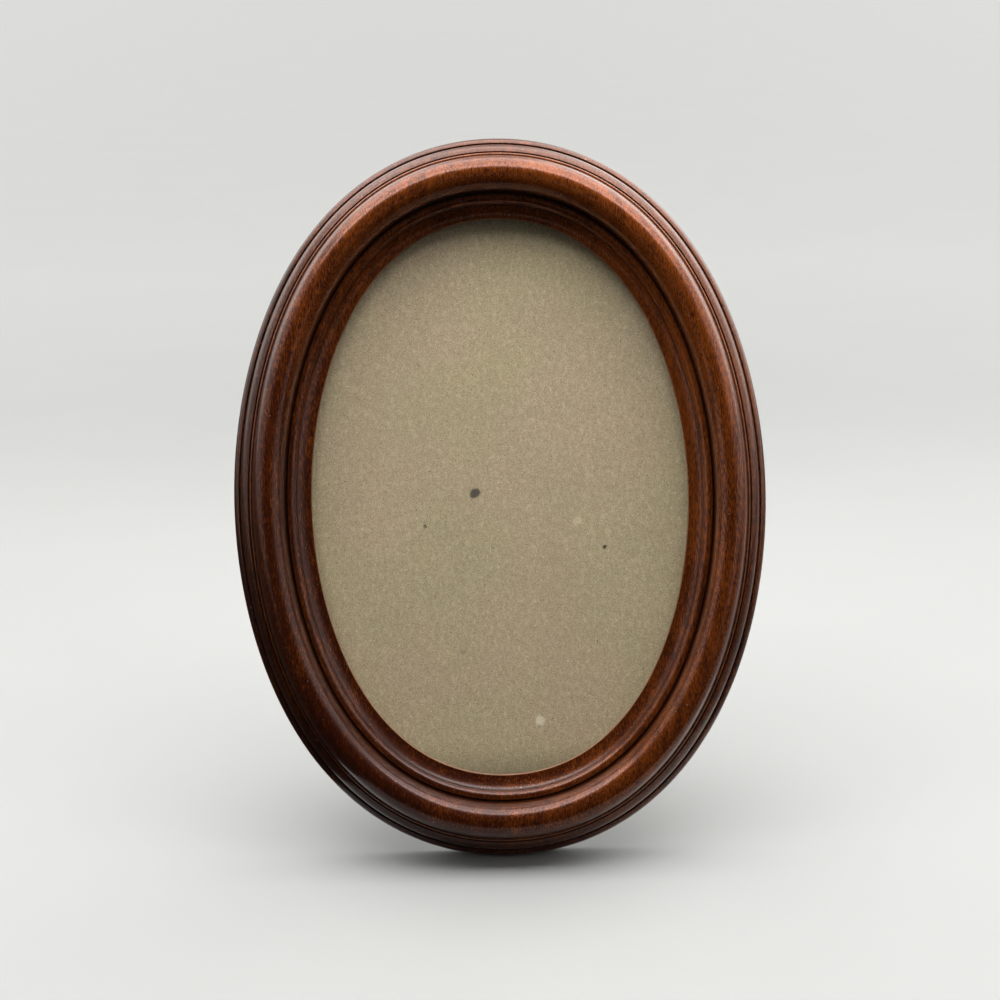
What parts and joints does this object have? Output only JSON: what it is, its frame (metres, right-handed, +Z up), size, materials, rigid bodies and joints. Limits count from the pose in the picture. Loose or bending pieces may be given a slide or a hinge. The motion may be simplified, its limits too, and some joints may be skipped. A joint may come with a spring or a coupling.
{
  "type": "oval picture frame",
  "caption": "Oval wooden table frame with a stepped moulding, glass and a board back held by turn buttons; it leans on a hinged easel leg and has a swinging hanger ring.",
  "frame": {"origin": "middle of the small flat planed on the bottom of the rim, level with the table", "axes": "+Z up; +X to the right seen from the front; the face looks towards -Y and leans back by 16 degrees"},
  "size_m": [0.1614, 0.0884, 0.2077],
  "materials": {
    "rim_wood": "satin",
    "glazing": "polished",
    "chipboard": "matte",
    "velour_board": "matte",
    "brass_hardware": "satin",
    "steel_pin": "satin"
  },
  "bodies": {
    "frame": {"rim": "rim_wood", "glass": "glazing", "backing_sheet": "chipboard", "easel_board": "velour_board", "button_screws": "brass_hardware", "hinge_board_leaf": "brass_hardware", "hinge_pin": "steel_pin", "board_rivets": "brass_hardware", "hanger_strap": "brass_hardware", "hanger_rivet": "brass_hardware"},
    "leg": {"easel_leg": "velour_board", "hinge_leg_leaf": "brass_hardware", "leg_rivets": "brass_hardware"},
    "button_upper_left": {"turn_button_upper_left": "brass_hardware"},
    "button_upper_right": {"turn_button_upper_right": "brass_hardware"},
    "button_lower_left": {"turn_button_lower_left": "brass_hardware"},
    "button_lower_right": {"turn_button_lower_right": "brass_hardware"},
    "ring": {"hanger_ring": "brass_hardware"}
  },
  "joints": [
    {"name": "leg_hinge", "type": "hinge", "parent": "frame", "child": "leg", "pos_m": [0, 0.0446, 0.14283], "axis": [-1, 0, 0], "range_deg": [0, 26]},
    {"name": "ring_hinge", "type": "hinge", "parent": "frame", "child": "ring", "pos_m": [0, 0.0529, 0.17322], "axis": [1, 0, 0], "range_deg": [-18, 166]},
    {"name": "button_turn_upper_left", "type": "hinge", "parent": "frame", "child": "button_upper_left", "pos_m": [-0.0472, 0.0499, 0.16876], "axis": [0, 0.9613, -0.2756], "continuous": true},
    {"name": "button_turn_upper_right", "type": "hinge", "parent": "frame", "child": "button_upper_right", "pos_m": [0.0472, 0.0499, 0.16876], "axis": [0, 0.9613, -0.2756], "continuous": true},
    {"name": "button_turn_lower_left", "type": "hinge", "parent": "frame", "child": "button_lower_left", "pos_m": [-0.0472, 0.01192, 0.03632], "axis": [0, 0.9613, -0.2756], "continuous": true},
    {"name": "button_turn_lower_right", "type": "hinge", "parent": "frame", "child": "button_lower_right", "pos_m": [0.0472, 0.01192, 0.03632], "axis": [0, 0.9613, -0.2756], "continuous": true}
  ]
}
